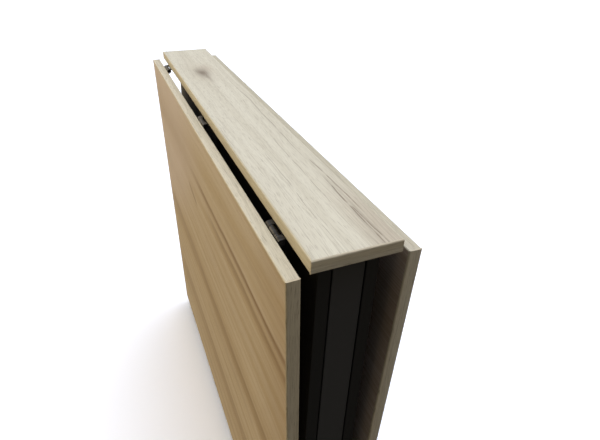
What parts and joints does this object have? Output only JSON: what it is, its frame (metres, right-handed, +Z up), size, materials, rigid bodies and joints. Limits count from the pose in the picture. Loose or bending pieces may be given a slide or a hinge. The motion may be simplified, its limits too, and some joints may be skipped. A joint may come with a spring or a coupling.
{
  "type": "drop leaf table",
  "caption": "Slim folding drop leaf table: a narrow top on a central frame, long leaves hanging from butt hinges, and folded gates between them.",
  "frame": {"origin": "on the floor under the middle of the folded table", "axes": "+Z up; +Y along the table's length, away from the end where the gates' free legs stand; +X across it, towards the right leaf"},
  "size_m": [0.1462, 0.8, 0.75],
  "materials": {
    "oak_laminate": "matt oak-decor laminate, grain along the table's length",
    "oak_edging": "matt oak-decor edging strip",
    "charcoal_laminate": "matt charcoal laminate",
    "black_laminate": "matt black laminate",
    "zinc_steel": "zinc-plated steel",
    "black_plastic": "matt black plastic",
    "felt": "dark grey felt"
  },
  "bodies": {
    "frame": {"frame_centre_post": "charcoal_laminate", "frame_far_leg": "charcoal_laminate", "frame_far_leg_glide": "black_plastic", "frame_lower_rail": "charcoal_laminate", "frame_near_leg": "charcoal_laminate", "frame_near_leg_glide": "black_plastic", "frame_upper_rail": "charcoal_laminate", "left_gate_free_leg": "black_laminate", "left_gate_glide": "black_plastic", "left_gate_hinge_lower_gate_plate": "zinc_steel", "left_gate_hinge_lower_post_plate": "zinc_steel", "left_gate_hinge_stile": "black_laminate", "left_gate_hinge_upper_gate_plate": "zinc_steel", "left_gate_hinge_upper_post_plate": "zinc_steel", "left_gate_lower_rail": "black_laminate", "left_gate_pad": "felt", "left_gate_upper_rail": "black_laminate", "left_hinge_far_pin": "zinc_steel", "left_hinge_far_top_plate": "zinc_steel", "left_hinge_middle_pin": "zinc_steel", "left_hinge_middle_top_plate": "zinc_steel", "left_hinge_near_pin": "zinc_steel", "left_hinge_near_top_plate": "zinc_steel", "right_gate_free_leg": "black_laminate", "right_gate_glide": "black_plastic", "right_gate_hinge_lower_gate_plate": "zinc_steel", "right_gate_hinge_lower_post_plate": "zinc_steel", "right_gate_hinge_stile": "black_laminate", "right_gate_hinge_upper_gate_plate": "zinc_steel", "right_gate_hinge_upper_post_plate": "zinc_steel", "right_gate_lower_rail": "black_laminate", "right_gate_pad": "felt", "right_gate_upper_rail": "black_laminate", "right_hinge_far_pin": "zinc_steel", "right_hinge_far_top_plate": "zinc_steel", "right_hinge_middle_pin": "zinc_steel", "right_hinge_middle_top_plate": "zinc_steel", "right_hinge_near_pin": "zinc_steel", "right_hinge_near_top_plate": "zinc_steel", "top_board": "oak_laminate", "top_edging_far": "oak_edging", "top_edging_left": "oak_edging", "top_edging_near": "oak_edging", "top_edging_right": "oak_edging"},
    "left_leaf": {"left_hinge_far_leaf_plate": "zinc_steel", "left_hinge_middle_leaf_plate": "zinc_steel", "left_hinge_near_leaf_plate": "zinc_steel", "left_leaf_board": "oak_laminate", "left_leaf_edging_far": "oak_edging", "left_leaf_edging_inner": "oak_edging", "left_leaf_edging_near": "oak_edging", "left_leaf_edging_outer": "oak_edging"},
    "right_leaf": {"right_hinge_far_leaf_plate": "zinc_steel", "right_hinge_middle_leaf_plate": "zinc_steel", "right_hinge_near_leaf_plate": "zinc_steel", "right_leaf_board": "oak_laminate", "right_leaf_edging_far": "oak_edging", "right_leaf_edging_inner": "oak_edging", "right_leaf_edging_near": "oak_edging", "right_leaf_edging_outer": "oak_edging"}
  },
  "joints": [
    {"name": "left_leaf_hinge", "type": "hinge", "parent": "frame", "child": "left_leaf", "pos_m": [-0.0535, 0, 0.7305], "axis": [0, 1, 0], "range_deg": [0, 91.88]},
    {"name": "right_leaf_hinge", "type": "hinge", "parent": "frame", "child": "right_leaf", "pos_m": [0.0535, 0, 0.7305], "axis": [0, -1, 0], "range_deg": [0, 91.88]}
  ]
}
